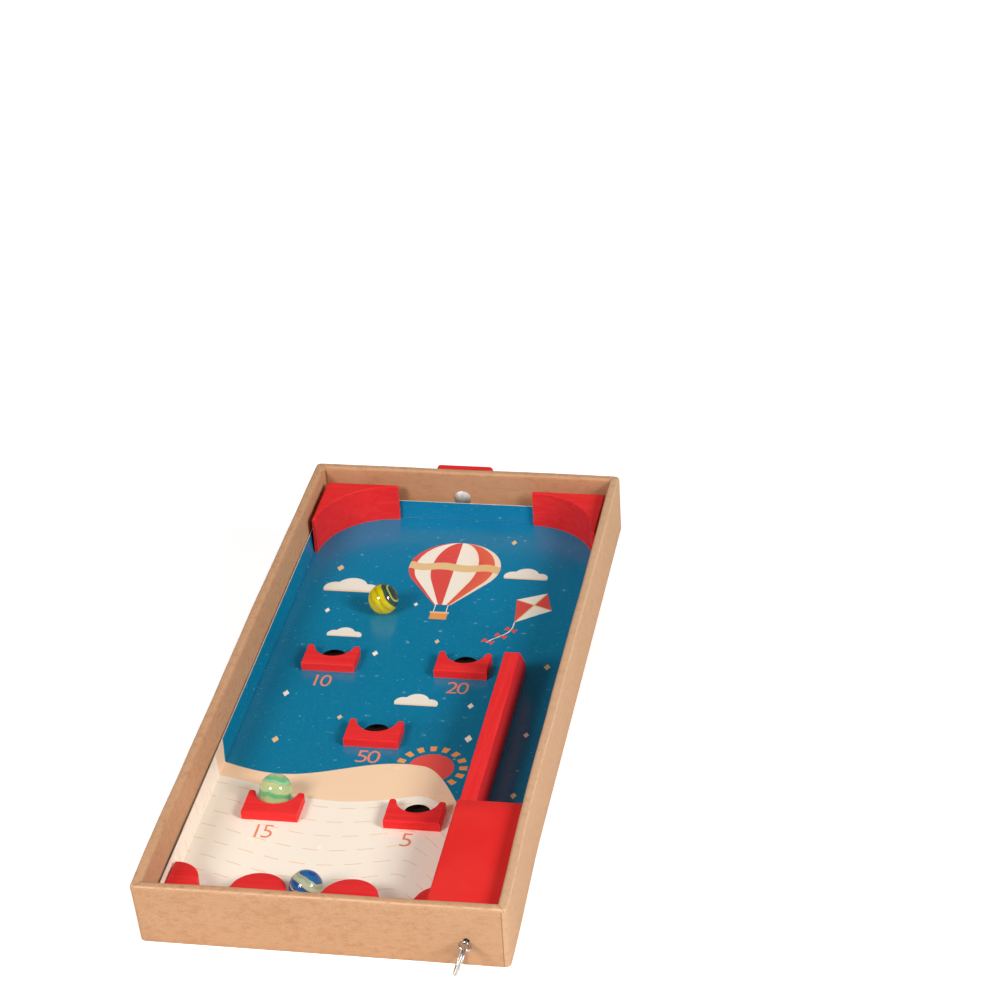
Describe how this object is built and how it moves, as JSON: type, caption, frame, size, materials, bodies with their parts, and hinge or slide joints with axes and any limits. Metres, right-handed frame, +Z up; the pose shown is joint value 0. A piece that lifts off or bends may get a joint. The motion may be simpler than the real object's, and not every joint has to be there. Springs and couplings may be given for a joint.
{
  "type": "tabletop pinball game",
  "caption": "Sloping tabletop pinball tray with scoring cups, waved catch rail, spring plunger with pull ring, swivel foot and glass marbles.",
  "frame": {"origin": "middle of the footprint, on the table that the game stands on", "axes": "+Y from the player to the back along the game, +X to the launch lane's side, +Z up"},
  "size_m": [0.17, 0.405, 0.0659],
  "materials": {
    "kraft_board": "matt, fibrous",
    "grey_board": "matt",
    "printed_card": "glossy laminate",
    "red_card": "satin print",
    "red_wood": "satin paint",
    "bare_wood": "bare",
    "bright_steel": "drawn wire",
    "nickel": "nickel plate",
    "glass_yellow": "polished",
    "glass_green": "polished",
    "glass_blue": "polished"
  },
  "bodies": {
    "tray": {"tray_base": "kraft_board", "tray_wall_front": "kraft_board", "tray_wall_right": "kraft_board", "tray_wall_back": "kraft_board", "tray_wall_left": "kraft_board", "runner_left": "grey_board", "runner_middle_left": "grey_board", "runner_middle_right": "grey_board", "runner_divider": "grey_board", "runner_right": "grey_board", "playfield_panel": "printed_card", "playfield_flap_left": "printed_card", "playfield_flap_right": "printed_card", "playfield_flap_back": "printed_card", "corner_block_left": "red_wood", "corner_block_right": "red_wood", "cup_ten": "red_wood", "cup_twenty": "red_wood", "cup_fifty": "red_wood", "cup_fifteen": "red_wood", "cup_five": "red_wood", "lane_divider": "red_wood", "front_rail": "red_wood", "launcher_cover": "red_card", "launcher_block": "bare_wood", "launch_spring": "bright_steel", "washer_front": "bright_steel", "pivot_bolt": "nickel", "pivot_spacer": "nickel", "pivot_washer": "nickel", "pivot_nut": "nickel"},
    "plunger": {"plunger_rod": "bright_steel", "plunger_head": "bare_wood", "washer_rear": "bright_steel"},
    "ring": {"pull_ring": "nickel"},
    "foot": {"stand_foot": "red_wood"},
    "yellow_marble": {"marble_yellow": "glass_yellow"},
    "green_marble": {"marble_green": "glass_green"},
    "blue_marble": {"marble_blue": "glass_blue"}
  },
  "joints": [
    {"name": "plunger_pull", "type": "slide", "parent": "tray", "child": "plunger", "axis": [0, -0.9962, -0.087], "range_m": [0, 0.03], "stiffness_N_per_m": 90, "springref_m": -0.012, "deforming": ["launch_spring"]},
    {"name": "ring_swing", "type": "hinge", "parent": "plunger", "child": "ring", "pos_m": [0.0673, -0.19321, 0.01334], "axis": [-0.9397, -0.0297, 0.3407], "range_deg": [0, 127]},
    {"name": "foot_turn", "type": "hinge", "parent": "tray", "child": "foot", "pos_m": [-0.003, 0.19306, 0.05007], "axis": [0, 0.9962, 0.087], "range_deg": [-90, 90]},
    {"name": "lift_yellow_marble", "type": "slide", "parent": "tray", "child": "yellow_marble", "axis": [0, -0.087, 0.9962], "range_m": [0, 0.06]},
    {"name": "lift_green_marble", "type": "slide", "parent": "tray", "child": "green_marble", "axis": [0, -0.087, 0.9962], "range_m": [0, 0.06]},
    {"name": "lift_blue_marble", "type": "slide", "parent": "tray", "child": "blue_marble", "axis": [0, -0.087, 0.9962], "range_m": [0, 0.06]}
  ]
}
